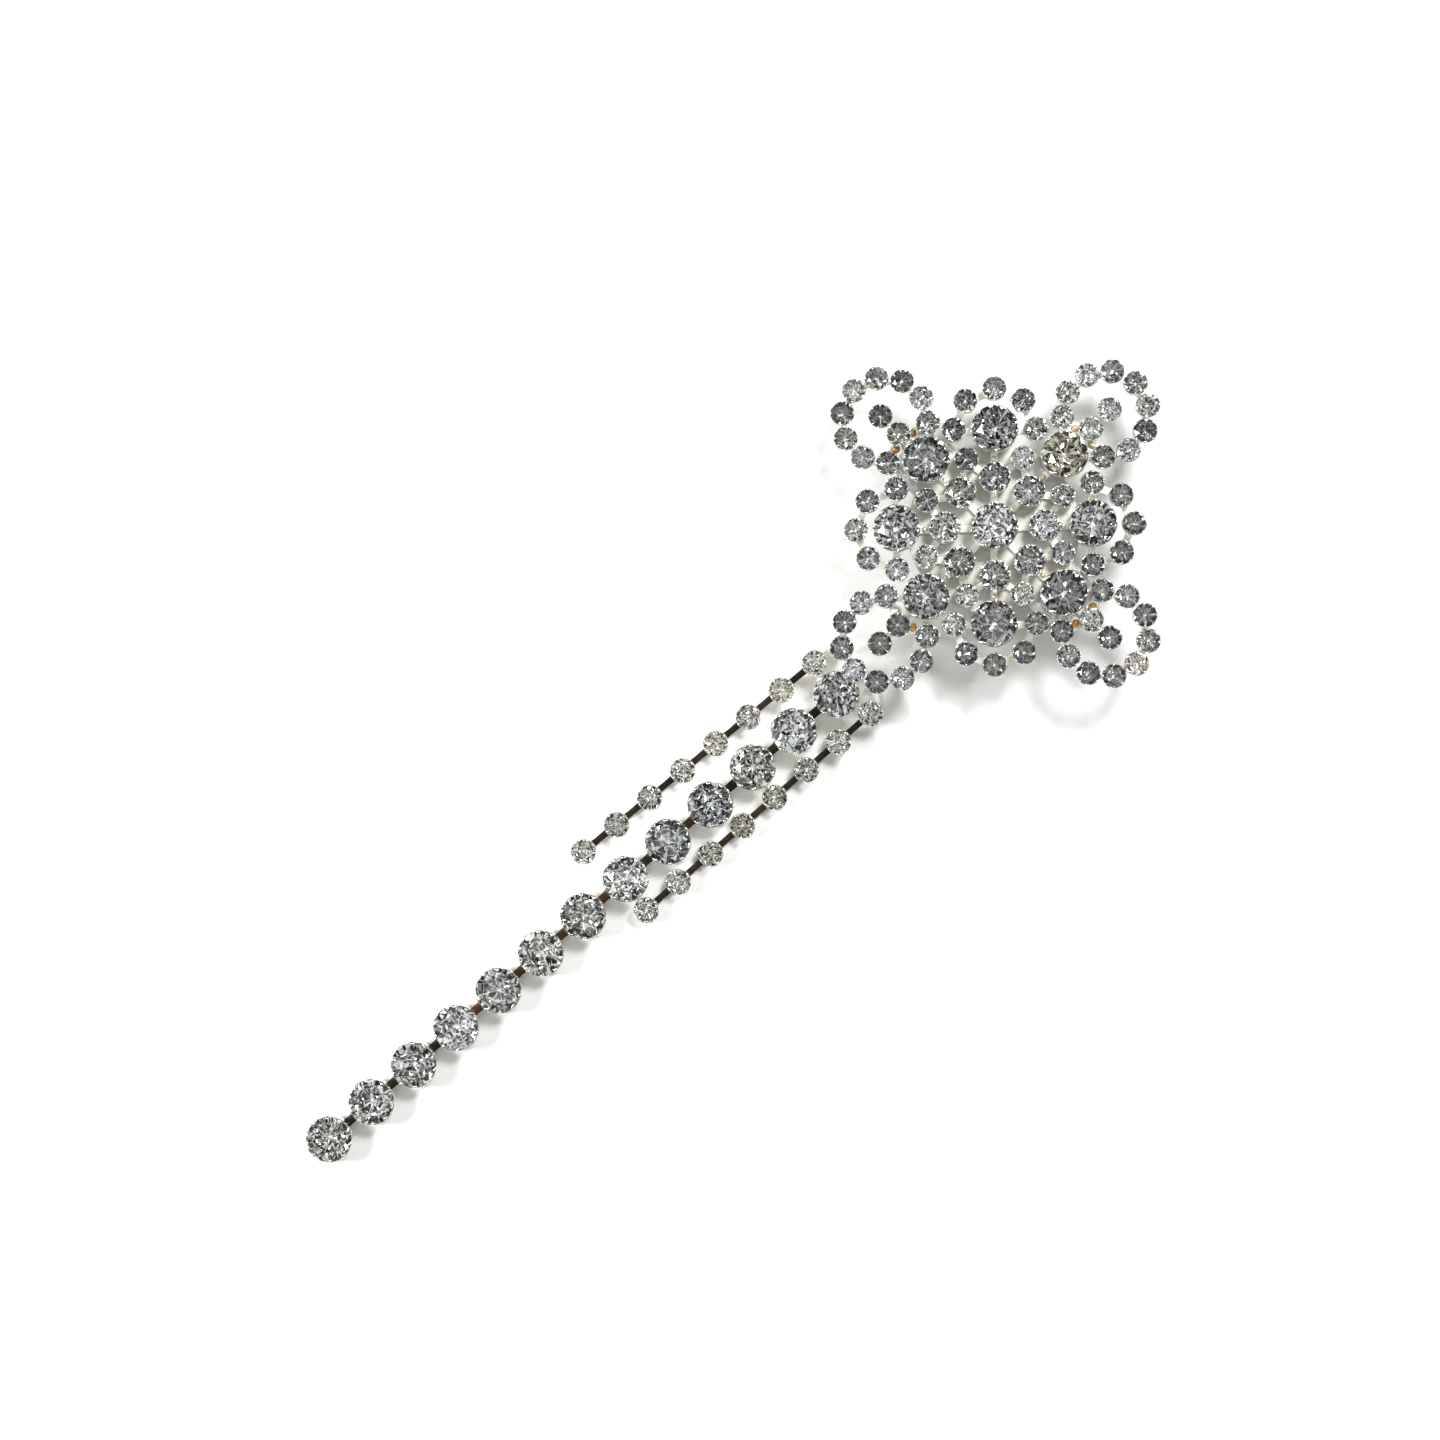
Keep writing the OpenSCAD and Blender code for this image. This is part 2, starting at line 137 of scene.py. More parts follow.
def head_matrix():
    """The ornament's own frame: the row's frame turned about Y, as its gripping face is."""
    grip = next(m for m in record["mounts"] if m["name"] == "hair_grip")
    down = Vector(grip["axis"])
    return Matrix.Rotation(math.atan2(-down.x, -down.z), 4, "Y")


def islands(node, to_local):
    """The separate solids of a CAD node, each as an array of its vertices in a local frame."""
    bm = bmesh.new()
    bm.from_mesh(frame["nodes"][node].data)
    bmesh.ops.remove_doubles(bm, verts=bm.verts, dist=1e-7)
    seen, found = set(), []
    for start in bm.verts:
        if start in seen:
            continue
        seen.add(start)
        stack, group = [start], []
        while stack:
            v = stack.pop()
            group.append(to_local @ v.co)
            for e in v.link_edges:
                w = e.other_vert(v)
                if w not in seen:
                    seen.add(w)
                    stack.append(w)
        found.append(np.array(group))
    bm.free()
    return found


def middle(points):
    low, high = points.min(0), points.max(0)
    return (low + high) / 2


def stone_places(node, to_local):
    """For each stone solid of a node: its middle x and y, and its diameter, in mm."""
    places = []
    for points in islands(node, to_local):
        x, y, _ = middle(points)
        places.append((x / MM, y / MM, np.ptp(points[:, 1]) / MM))
    return places


def size_class(d):
    return "large" if d > 5 else "medium" if d > 3.5 else "small"


# ---------------------------------------------------------------- mesh building


def add_object(name, data):
    obj = bpy.data.objects.new(name, data)
    bpy.context.scene.collection.objects.link(obj)
    return obj


class Soup:
    """Collects the faces of many like things into one mesh, with a colour on each face."""

    def __init__(self):
        self.points, self.faces, self.slots, self.tints = [], [], [], []

    def add(self, points, faces, matrix, slots=None, tint=(1, 1, 1)):
        base = len(self.points)
        self.points += [tuple(matrix @ Vector(p)) for p in points]
        self.faces += [tuple(base + i for i in f) for f in faces]
        self.slots += slots or [0] * len(faces)
        self.tints += [tint] * len(faces)

    def build(self, name, materials, smooth=False):
        mesh = bpy.data.meshes.new(name)
        mesh.from_pydata(self.points, [], self.faces)
        for m in materials:
            mesh.materials.append(m)
        mesh.polygons.foreach_set("material_index", self.slots)
        mesh.polygons.foreach_set("use_smooth", [smooth] * len(self.faces))
        tint = mesh.attributes.new("tint", "FLOAT_COLOR", "CORNER")
        values = []
        for face, colour in zip(self.faces, self.tints):
            values += [*colour, 1.0] * len(face)
        tint.data.foreach_set("color", values)
        mesh.validate()
        mesh.update()
        return add_object(name, mesh)


def ring(r, z, n, turn=0.0):
    """n points round the Z axis. turn is in steps of the ring."""
    return [
        (r * math.cos((k + turn) * math.tau / n), r * math.sin((k + turn) * math.tau / n), z)
        for k in range(n)
    ]


def off_cut(points, d, rng):
    """Points of a stone's cut, each a little off its place as polishing leaves them."""
    off = CUT_JITTER * d
    return [tuple(c + rng.uniform(-off, off) for c in p) for p in points]


def pairs(r, z, n, half, turn=0.0):
    """For each half step of a ring of n, two points a little to either side of it."""
    found = []
    for k in range(n):
        a = (k + 0.5 + turn) * math.tau / n
        for side in (-half, half):
            found.append((
                r * math.cos(a) - side * math.sin(a), r * math.sin(a) + side * math.cos(a), z
            ))
    return found


def stone_mesh(d, rng):
    """A brilliant-cut stone of diameter d mm over its cup's base: crown and girdle are slot 0, the
    foiled back is slot 1 and its rounded ridges are slot 2. No two stones are cut quite alike, and
    the back is turned a little against the front."""
    g = height(d)
    n = FACETS
    twist = rng.uniform(-CUT_TWIST, CUT_TWIST)
    half = RIDGE_HALF * d
    top = g + (GIRDLE_BAND + CROWN_HEIGHT) * d
    slope = CROWN_HEIGHT / (0.5 - TABLE_R)
    star_z = g + GIRDLE_BAND * d + (0.5 - STAR_R) * d * slope * STAR_RISE
    flat = math.cos(math.pi / n)
    cone = PAVILION_DEPTH / (0.5 - CULET_R * flat)
    break_z = g + (BREAK_RISE - cone * (0.5 - PAVILION_BREAK_R * flat)) * d
    waist_z = g - (WAIST_DROP + cone * (0.5 - PAVILION_WAIST_R * flat)) * d
    table = ring(TABLE_R * d, top, n)
    star = off_cut(ring(STAR_R * d, star_z, n, 0.5), d * STAR_JITTER, rng)
    upper = ring(GIRDLE_R * d, g + GIRDLE_BAND * d, n)
    upper_pair = pairs(GIRDLE_R * d, g + GIRDLE_BAND * d, n, half)
    lower = ring(GIRDLE_R * d, g, n, twist)
    lower_pair = pairs(GIRDLE_R * d, g, n, half, twist)
    back = off_cut(pairs(PAVILION_BREAK_R * d, break_z, n, half, twist), d, rng)
    waist = off_cut(pairs(PAVILION_WAIST_R * d, waist_z, n, half, twist), d, rng)
    culet_z = g - PAVILION_DEPTH * d
    culet = off_cut(pairs(CULET_R * d, culet_z, n, half * CULET_RIDGE, twist), d, rng)
    points = table + star + upper + upper_pair + lower + lower_pair + back + waist + culet
    # Where each of those rings starts among the points, in their order
    t, s, u, up, l, lp, b, w, c = 0, n, 2 * n, 3 * n, 5 * n, 6 * n, 8 * n, 10 * n, 12 * n
    faces, slots = [tuple(range(t, t + n))], [0]
    for k in range(n):
        after, before = (k + 1) % n, (k - 1) % n
        near, far = 2 * k, 2 * k + 1
        faces += [
            (t + k, s + k, t + after),
            (t + k, s + before, u + k, s + k),
            (s + k, u + k, up + near),
            (s + k, up + near, up + far),
            (s + k, up + far, u + after),
            (u + k, l + k, lp + near, up + near),
            (up + near, lp + near, lp + far, up + far),
            (up + far, lp + far, l + after, u + after),
        ]
        slots += [0] * 8
        last = 2 * before + 1
        faces += [
            (c + last, c + near, w + near, w + last),
            (w + last, w + near, b + near, b + last),
            (b + last, b + near, l + k),
            (b + near, lp + near, l + k),
            (b + far, l + after, lp + far),
            (c + near, c + far, w + far, w + near),
            (w + near, w + far, b + far, b + near),
            (b + near, b + far, lp + far, lp + near),
        ]
        slots += [1] * 5 + [2] * 3
    faces.append(tuple(reversed(range(c, c + 2 * n))))
    slots.append(2)
    return points, faces, slots


def cup_mesh(d, kind, seed):
    """A pressed cup whose rim rises into small prongs bent over the stone."""
    rng = random.Random(seed)
    wall = CUP_WALLS[kind]
    r = d / 2 + CUP_FIT + wall
    g = height(d)
    rim = g + GIRDLE_BAND * d + RIM_OVER
    prongs = PRONGS[kind]
    turn = rng.random()
    reach = PRONG_REACH * d * rng.uniform(0.85, 1.1)
    rise = reach * CROWN_HEIGHT / (0.5 - TABLE_R) + RIM_OVER
    n = CUP_SIDES
    rows = []
    for k in range(n):
        a = (k + turn) * math.tau / n
        phase = math.cos(a * prongs)
        grip = max(0.0, phase - PRONG_START) / 0.65
        grip = grip ** PRONG_SHARPNESS if grip > 0 else 0.0
        dip = RIM_DIP * g * (1 - min(1.0, max(0.0, phase + 0.6)))
        out = r - SCALLOP * (1 - phase) / 2
        # The outside going up, over the lip, and down the inside to the floor
        profile = [
            (0.70 * r, 0.0), (0.79 * r, 0.03 * g), (0.90 * r, 0.2 * g), (0.975 * r, 0.45 * g),
            (out, 0.7 * g), (out, rim - dip - 0.3 * wall), (out - 0.25 * wall, rim - dip),
            (r - wall - reach * grip * 0.5, rim - dip + (rise * 0.5 + wall) * grip),
            (r - wall - reach * grip, rim - dip + (rise + wall * 0.8) * grip),
            (r - wall - reach * grip * 0.98, rim - dip + (rise + 0.01) * grip - 0.001),
            (r - wall, rim - dip - 0.35 * wall),
            (r - wall, 0.7 * g), (0.975 * r - wall, 0.45 * g), (0.90 * r - wall, 0.22 * g),
            (0.7 * r - wall, CUP_FLOOR),
        ]
        rows.append([(q * math.cos(a), q * math.sin(a), z) for q, z in profile])
    m = len(rows[0])
    points = [p for row in rows for p in row] + [(0, 0, 0), (0, 0, CUP_FLOOR)]
    faces = []
    for k in range(n):
        k1 = (k + 1) % n
        for j in range(m - 1):
            faces.append((k * m + j, k1 * m + j, k1 * m + j + 1, k * m + j + 1))
        faces.append((n * m, k1 * m, k * m))
        faces.append((n * m + 1, k * m + m - 1, k1 * m + m - 1))
    return points, faces


# ---------------------------------------------------------------- materials


def new_material(name):
    mat = bpy.data.materials.new(name)
    mat.use_nodes = True
    tree = mat.node_tree
    tree.nodes.clear()
    out = tree.nodes.new("ShaderNodeOutputMaterial")
    shader = tree.nodes.new("ShaderNodeBsdfPrincipled")
    tree.links.new(shader.outputs[0], out.inputs[0])
    return mat, tree, shader


def node(tree, kind, **values):
    made = tree.nodes.new(kind)
    for key, value in values.items():
        if key in made.inputs:
            made.inputs[key].default_value = value
        else:
            setattr(made, key, value)
    return made


def noise_at(tree, scale, detail=3.0, rough=0.6):
    place = node(tree, "ShaderNodeTexCoord")
    made = node(tree, "ShaderNodeTexNoise", Scale=scale, Detail=detail, Roughness=rough)
    tree.links.new(place.outputs["Object"], made.inputs["Vector"])
    return made


def ramp(tree, source, stops):
    made = tree.nodes.new("ShaderNodeValToRGB")
    elements = made.color_ramp.elements
    while len(elements) < len(stops):
        elements.new(0.5)
    for element, (at, colour) in zip(elements, stops):
        element.position = at
        element.color = (*colour, 1) if len(colour) == 3 else (colour[0],) * 3 + (1,)
    tree.links.new(source, made.inputs["Fac"])
    return made.outputs["Color"]


def bump(tree, shader, source, strength, distance):
    made = node(tree, "ShaderNodeBump", Strength=strength, Distance=distance)
    tree.links.new(source, made.inputs["Height"])
    tree.links.new(made.outputs["Normal"], shader.inputs["Normal"])


def tint_colour(tree, shader, worn):
    """Takes the base colour from the mesh's tint, darkened where the worn pattern is."""
    tint = node(tree, "ShaderNodeVertexColor", layer_name="tint")
    mix = node(tree, "ShaderNodeMix", data_type="RGBA", blend_type="MULTIPLY")
    mix.inputs["Factor"].default_value = 1.0
    tree.links.new(tint.outputs["Color"], mix.inputs["A"])
    tree.links.new(worn, mix.inputs["B"])
    tree.links.new(mix.outputs["Result"], shader.inputs["Base Color"])


def plated(name, light, stain, rough, spot_scale):
    """Bright plating that has dulled and stained in spots."""
    mat, tree, shader = new_material(name)
    shader.inputs["Metallic"].default_value = 1.0
    spots = noise_at(tree, spot_scale, 4.0, 0.65)
    colour = ramp(tree, spots.outputs["Fac"], [(0.35, light), (0.52, light), (0.72, stain)])
    tree.links.new(colour, shader.inputs["Base Color"])
    fine = noise_at(tree, spot_scale * 4, 2.0)
    dull = ramp(tree, fine.outputs["Fac"], [(0.3, (rough[0],)), (0.7, (rough[1],))])
    tree.links.new(dull, shader.inputs["Roughness"])
    bump(tree, shader, fine.outputs["Fac"], 0.2, 0.00002)
    return mat


def crystal_glass():
    """Clear lead glass with faint rubbing marks."""
    mat, tree, shader = new_material("crystal_glass")
    shader.inputs["Base Color"].default_value = (0.99, 0.99, 0.99, 1)
    shader.inputs["Transmission Weight"].default_value = 1.0
    shader.inputs["IOR"].default_value = 1.56
    marks = noise_at(tree, 2500.0, 2.0)
    dull = ramp(tree, marks.outputs["Fac"], [(0.45, (0.0,)), (0.8, (0.06,))])
    tree.links.new(dull, shader.inputs["Roughness"])
    return mat


def crystal_foil():
    """The mirror foil on the stones' backs, tinted stone by stone and dulled in patches."""
    mat, tree, shader = new_material("crystal_foil")
    shader.inputs["Metallic"].default_value = 1.0
    shader.inputs["Roughness"].default_value = 0.04
    patches = noise_at(tree, 900.0, 3.0)
    worn = ramp(tree, patches.outputs["Fac"], [(0.35, (0.86,)), (0.65, (1.0,))])
    tint_colour(tree, shader, worn)
    return mat


def crystal_ridge():
    """The foil on the rounded ridges of a stone's back, which catches light from all sides."""
    mat, tree, shader = new_material("crystal_ridge")
    shader.inputs["Base Color"].default_value = (0.97, 0.97, 0.97, 1)
    shader.inputs["Metallic"].default_value = 1.0
    marks = noise_at(tree, 1500.0, 2.0)
    dull = ramp(tree, marks.outputs["Fac"], [(0.3, (0.3,)), (0.7, (0.5,))])
    tree.links.new(dull, shader.inputs["Roughness"])
    return mat


def brushed(name, colour, dark, along):
    """Sheet steel with fine drawing lines along one axis of the part."""
    mat, tree, shader = new_material(name)
    shader.inputs["Metallic"].default_value = 1.0
    place = node(tree, "ShaderNodeTexCoord")
    squeeze = node(tree, "ShaderNodeMapping")
    scale = tuple(150.0 if k == along else 9000.0 for k in range(3))
    squeeze.inputs["Scale"].default_value = scale
    lines = node(tree, "ShaderNodeTexNoise", Scale=1.0, Detail=3.0, Roughness=0.6)
    tree.links.new(place.outputs["Object"], squeeze.inputs["Vector"])
    tree.links.new(squeeze.outputs["Vector"], lines.inputs["Vector"])
    tree.links.new(
        ramp(tree, lines.outputs["Fac"], [(0.3, dark), (0.6, colour)]), shader.inputs["Base Color"]
    )
    tree.links.new(
        ramp(tree, lines.outputs["Fac"], [(0.3, (0.2,)), (0.7, (0.38,))]), shader.inputs["Roughness"]
    )
    bump(tree, shader, lines.outputs["Fac"], 0.15, 0.00002)
    return mat


def tarnished():
    """The chain's connectors: plating worn to brown and black, redder in places."""
    mat, tree, shader = new_material("tarnished_connector")
    shader.inputs["Metallic"].default_value = 0.85
    broad = noise_at(tree, 90.0, 1.0)
    colour = ramp(
        tree,
        broad.outputs["Fac"],
        [(0.4, (0.018, 0.016, 0.011)), (0.55, (0.04, 0.03, 0.02)), (0.72, (0.1, 0.052, 0.03))],
    )
    tree.links.new(colour, shader.inputs["Base Color"])
    fine = noise_at(tree, 1600.0, 3.0)
    tree.links.new(
        ramp(tree, fine.outputs["Fac"], [(0.3, (0.3,)), (0.7, (0.55,))]), shader.inputs["Roughness"]
    )
    bump(tree, shader, fine.outputs["Fac"], 0.4, 0.00004)
    return mat


def solder():
    """Solder that has gone from silver to cream or orange brass, drop by drop and in patches."""
    mat, tree, shader = new_material("solder_bead")
    shader.inputs["Metallic"].default_value = 0.85
    broad = noise_at(tree, 900.0, 2.0)
    worn = ramp(tree, broad.outputs["Fac"], [(0.35, (0.75, 0.7, 0.6)), (0.6, (1.0, 1.0, 1.0))])
    tint_colour(tree, shader, worn)
    fine = noise_at(tree, 2200.0, 2.0)
    tree.links.new(
        ramp(tree, fine.outputs["Fac"], [(0.3, (0.25,)), (0.7, (0.45,))]), shader.inputs["Roughness"]
    )
    bump(tree, shader, fine.outputs["Fac"], 0.3, 0.00003)
    return mat


GLASS = crystal_glass()
FOIL = crystal_foil()
RIDGE = crystal_ridge()
CUP_METAL = plated("plated_cup", (0.94, 0.94, 0.91), (0.8, 0.76, 0.62), (0.1, 0.26), 420.0)
CHAIN_METAL = plated("plated_chain_cup", (0.93, 0.91, 0.84), (0.7, 0.64, 0.45), (0.12, 0.3), 420.0)
FRAME_METAL = plated("plated_frame", (0.84, 0.83, 0.76), (0.72, 0.62, 0.42), (0.25, 0.45), 260.0)
# The back plate is a real part, but its plating is painted darker grey than the other plating:
# painted shade for the gaps between the stones
BACK_PLATE_PAINTED_SHADE = plated("back_plate_with_painted_shade", (0.52, 0.525, 0.48), (0.5, 0.48, 0.41), (0.45, 0.6), 180.0)
WIRE_METAL = plated("plated_wire", (0.86, 0.78, 0.68), (0.62, 0.42, 0.3), (0.2, 0.4), 300.0)
CLIP_STEEL = brushed("clip_steel", (0.74, 0.73, 0.7), (0.5, 0.49, 0.46), 0)
PIN_STEEL = brushed("pin_steel", (0.7, 0.7, 0.68), (0.48, 0.47, 0.45), 1)
SPRING_STEEL = brushed("spring_steel", (0.5, 0.49, 0.46), (0.3, 0.29, 0.27), 1)
CONNECTOR = tarnished()
SOLDER = solder()

# ---------------------------------------------------------------- stones and cups on the head

HEAD = head_matrix()
TO_HEAD = HEAD.inverted()
SCALE = Matrix.Scale(MM, 4)
CUP_BASE = min(p[:, 2].min() for p in islands("centre_cup", TO_HEAD)) / MM

# How bright the foil behind a stone may be, and how brown it is on the tassel's side strands
HEAD_LEVELS = (0.47, 0.56, 0.65, 0.8)
CHAIN_LEVELS = (0.74, 0.82, 0.9)
SIDE_WARMTH = 0.045


def foil_tint(rng, levels, warmth):
    """A stone's foil colour: one of the levels, turned browner by about the warmth given."""
    level = rng.choice(levels)
    warm = warmth + rng.uniform(-0.02, 0.02)
    return (level * (1 + warm * 0.5), level, level * (1 - warm * 1.2))


def seat(x, y, base, rng, jitter=1.0):
    """Where one set stone sits in its local frame, in mm, a little off place and level."""
    shift = Matrix.Translation(
        (x + jitter * rng.uniform(-PLACE_JITTER, PLACE_JITTER),
         y + jitter * rng.uniform(-PLACE_JITTER, PLACE_JITTER), base)
    )
    tip = Matrix.Rotation(rng.uniform(-1, 1) * TILT_JITTER * jitter, 4, "X")
    tip = tip @ Matrix.Rotation(rng.uniform(-1, 1) * TILT_JITTER * jitter, 4, "Y")
    return shift @ tip


def set_stones(
    places, stone_name, cup_name, local, base, seed, tints=None, jitter=1.0, metal=None,
    levels=HEAD_LEVELS, warmth=0.0
):
    """Builds one piece of stones and one of cups at the places given, in a local frame. The cups
    lean with their stones at full jitter, and stand straight where it is less."""
    stones, cups = Soup(), Soup()
    rng = random.Random(seed)
    for k, (x, y, d) in enumerate(places):
        kind = size_class(d)
        at = local @ SCALE @ seat(x, y, base, rng, jitter)
        turn = Matrix.Rotation(rng.uniform(0, math.tau), 4, "Z")
        tint = (tints or {}).get(k) or foil_tint(rng, levels, warmth)
        points, faces, slots = stone_mesh(d, rng)
        stones.add(points, faces, at @ turn, slots, tint)
        points, faces = cup_mesh(d, kind, seed * 100 + k)
        straight = local @ SCALE @ Matrix.Translation((x, y, base))
        cups.add(points, faces, at if jitter == 1.0 else straight)
    return (
        stones.build(stone_name, [GLASS, FOIL, RIDGE]),
        cups.build(cup_name, [metal or CUP_METAL], smooth=True),
    )


def settle(obj, body, slot, *nodes):
    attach(obj, body)
    if nodes:
        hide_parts(*nodes)


# Foil colours of single stones. The outer ring's stones are numbered round the Z axis from +X
CLEAR = (1.0, 1.0, 1.0)
SMOKY = (0.74, 0.72, 0.64)
ROSE = (1.0, 0.95, 0.9)
LARGE_LEVELS = {0: 0.5, 1: 0.69, 3: 0.65, 4: 0.52, 5: 0.73, 6: 0.66, 7: 0.62}
LARGE_TINTS = {k: (level, level, level) for k, level in LARGE_LEVELS.items()}
LARGE_TINTS[2] = SMOKY
SET_TINTS = {"outer_ring": LARGE_TINTS, "centre": {0: (0.88, 0.88, 0.88)}}

GROUPS = [
    ("centre", "centre_stone", "centre_cup"),
    ("outer_ring", "outer_ring_stones", "outer_ring_cups"),
    ("inner_ring", "inner_ring_stones", "inner_ring_cups"),
    ("filler", "filler_stones", "filler_cups"),
    ("trefoil", "trefoil_stones", "trefoil_cups"),
]
for seed, (name, stone_node, cup_node) in enumerate(GROUPS):
    places = stone_places(stone_node, TO_HEAD)
    places.sort(key=lambda p: round(math.degrees(math.atan2(p[1], p[0])) % 360, 1))
    tints = SET_TINTS.get(name)
    stones, cups = set_stones(
        places, name + "_cut_stones", name + "_pressed_cups", HEAD, CUP_BASE, 11 + seed, tints
    )
    settle(stones, "head", "crystal", stone_node)
    settle(cups, "head", "cup_metal", cup_node)

# A loop's stones lie within a wedge, and its stalk's are near the wedge's middle. Lengths in mm
WEDGE = 1.5
STALK_HALF, STALK_END = 0.5, 24
loop_places = stone_places("loop_stones", TO_HEAD)
LOOPS = {"right": 0, "upper": 90, "left": 180, "lower": 270}
WORN_LOOP_STONES = {"upper": {6: CLEAR}, "right": {4: ROSE}}
for name, angle in LOOPS.items():
    out = Vector((math.cos(math.radians(angle)), math.sin(math.radians(angle))))
    side = Vector((-out.y, out.x))
    mine = [
        p for p in loop_places
        if Vector(p[:2]) @ out > abs(Vector(p[:2]) @ side) * WEDGE
    ]
    stalk = [
        p for p in mine
        if abs(Vector(p[:2]) @ side) < STALK_HALF and Vector(p[:2]) @ out < STALK_END
    ]
    around = [p for p in mine if p not in stalk]
    centre = sum((Vector(p[:2]) for p in around), Vector((0, 0))) / len(around)
    around.sort(
        key=lambda p: math.atan2(
            (Vector(p[:2]) - centre) @ side, (Vector(p[:2]) - centre) @ out + 1e-6
        )
    )
    stones, cups = set_stones(
        around + stalk, name + "_loop_cut_stones", name + "_loop_pressed_cups", HEAD, CUP_BASE,
        31 + angle, WORN_LOOP_STONES.get(name), LOOP_JITTER
    )
    settle(stones, "head", "crystal", "loop_stones")
    settle(cups, "head", "cup_metal", name + "_loop_cups")

# ---------------------------------------------------------------- the tassel's links

joints = {j["child"]: j for j in frame["joints"]}

# Radius of each strand's cross pins in mm, and the connector's sizes as shares of it
PIN_R = {"centre": 0.3, "left": 0.22, "right": 0.22}
BAR_WIDTH, BAR_WAIST = 4.1, 0.92
PIN_LENGTH, PIN_FIT = 4.3, 0.97


def strand_links(side):
    return sorted(b for b in frame["bodies"] if b.startswith(side + "_link_"))


def link_frames(side):
    """Each link's own frame: at its hinge, X along the hinge, -Y towards the next link."""
    links = strand_links(side)
    hinges = [Vector(joints[b]["pos_m"]) for b in links]
    frames = []
    for i, body in enumerate(links):
        if i + 1 < len(links):
            step = hinges[i + 1] - hinges[i]
        x = -Vector(joints[body]["axis"]).normalized()
        y = -step.normalized()
        z = x.cross(y)
        turn = Matrix((x, y, z)).transposed().to_4x4()
        frames.append((body, Matrix.Translation(hinges[i]) @ turn, step.length / MM))
    return frames


def bar_mesh(length, width, thick, waist, steps=10, sides=12):
    """A flat connector bar along +Y from the origin: rounded section, narrower in the middle."""
    points, faces = [], []
    for i in range(steps + 1):
        t = i / steps
        w = width / 2 * (1 - (1 - waist) * math.sin(math.pi * t))
        for k in range(sides):
            a = k * math.tau / sides
            ca, sa = math.cos(a), math.sin(a)
            points.append((
                w * math.copysign(abs(ca) ** 0.6, ca), t * length,
                thick / 2 * math.copysign(abs(sa) ** 0.6, sa)
            ))
    for i in range(steps):
        for k in range(sides):
            k1 = (k + 1) % sides
            faces.append((i * sides + k, (i + 1) * sides + k, (i + 1) * sides + k1, i * sides + k1))
    faces.append(tuple(range(sides)))
    faces.append(tuple(steps * sides + k for k in reversed(range(sides))))
    return points, faces


def pin_mesh(length, r, sides=16):
    """A cross pin along X with rounded ends."""
    profile = [(-0.5, 0.7), (-0.46, 0.95), (-0.42, 1.0), (0.42, 1.0), (0.46, 0.95), (0.5, 0.7)]
    points = [
        (x * length, q * r * math.cos(k * math.tau / sides), q * r * math.sin(k * math.tau / sides))
        for x, q in profile for k in range(sides)
    ]
    faces = []
    for i in range(len(profile) - 1):
        for k in range(sides):
            k1 = (k + 1) % sides
            faces.append((i * sides + k, i * sides + k1, (i + 1) * sides + k1, (i + 1) * sides + k))
    faces.append(tuple(reversed(range(sides))))
    faces.append(tuple((len(profile) - 1) * sides + k for k in range(sides)))
    return points, faces


for number, side in enumerate(("centre", "left", "right")):
    frames = link_frames(side)
    for i, (body, local, pitch) in enumerate(frames):
        to_link = local.inverted()
        solids = islands(body, to_link)
        stone = min(solids, key=lambda p: np.ptp(p[:, 0]))
        cup = max(solids, key=lambda p: np.ptp(p[:, 0]) + np.ptp(p[:, 1]))
        x, y, _ = middle(stone) / MM
        d = np.ptp(stone[:, 0]) / MM
        base = cup[:, 2].min() / MM
        stones, cups = set_stones(
            [(x, y, d)], body + "_cut_stone", body + "_pressed_cup", local, base,
            500 + 40 * number + i, None, CHAIN_JITTER, CHAIN_METAL, CHAIN_LEVELS,
            0.0 if side == "centre" else SIDE_WARMTH
        )
        settle(stones, body, "crystal", body)
        settle(cups, body, "cup_metal", body)
        if i + 1 < len(frames):
            r = PIN_R[side]
            # The bar reaches from the next hinge to the middle of this cup's wall
            bar = pitch + y - d / 2 - CUP_WALLS[size_class(d)] * 0.5
            next_hinge = local @ SCALE @ Matrix.Translation((0, -pitch, 0))
            connector = Soup()
            points, faces = bar_mesh(bar, BAR_WIDTH * r, r, BAR_WAIST)
            connector.add(points, faces, next_hinge)
            points, faces = pin_mesh(PIN_LENGTH * r, r * PIN_FIT)
            connector.add(points, faces, next_hinge)
            piece = connector.build(body + "_connector", [CONNECTOR], smooth=True)
            settle(piece, body, "wire_metal", body)

# ---------------------------------------------------------------- solder, spring and frame


BLOB_SQUASH, BLOB_FOOT = 0.8, 0.12


def blob_mesh(r, seed):
    """A lumpy drop of solder of radius r, flat underneath."""
    bm = bmesh.new()
    bmesh.ops.create_icosphere(bm, subdivisions=3, radius=r)
    offset = Vector((seed * 1.7, seed * 0.9, seed * 2.3))
    for v in bm.verts:
        lump = noise.noise(v.co / r * 1.1 + offset)
        v.co *= 0.94 + 0.16 * lump
        v.co.z = max(v.co.z * BLOB_SQUASH, -BLOB_FOOT * r)
    points = [tuple(v.co) for v in bm.verts]
    faces = [tuple(v.index for v in f.verts) for f in bm.faces]
    bm.free()
    return points, faces


ORANGE_SOLDER = [(0.75, 0.42, 0.13), (0.66, 0.34, 0.1), (0.8, 0.52, 0.22)]
BROWN_SOLDER = [(0.36, 0.22, 0.09), (0.45, 0.3, 0.14)]
CREAM_SOLDER = [(0.86, 0.82, 0.68), (0.84, 0.76, 0.6), (0.88, 0.86, 0.8)]
# A bead over this radius is large, and a corner's foot is this far from the middle, in mm
LARGE_BEAD_R = 0.5
CORNER_FOOT = 12


def solder_colours(x, y, r):
    """Small beads and the +Y corner's are cream, large ones at -X are brown, those at +X are
    orange, and the other large ones are either orange or cream."""
    if r < LARGE_BEAD_R or y > CORNER_FOOT:
        return CREAM_SOLDER
    if x < -CORNER_FOOT:
        return BROWN_SOLDER
    return ORANGE_SOLDER if x > CORNER_FOOT else ORANGE_SOLDER + CREAM_SOLDER


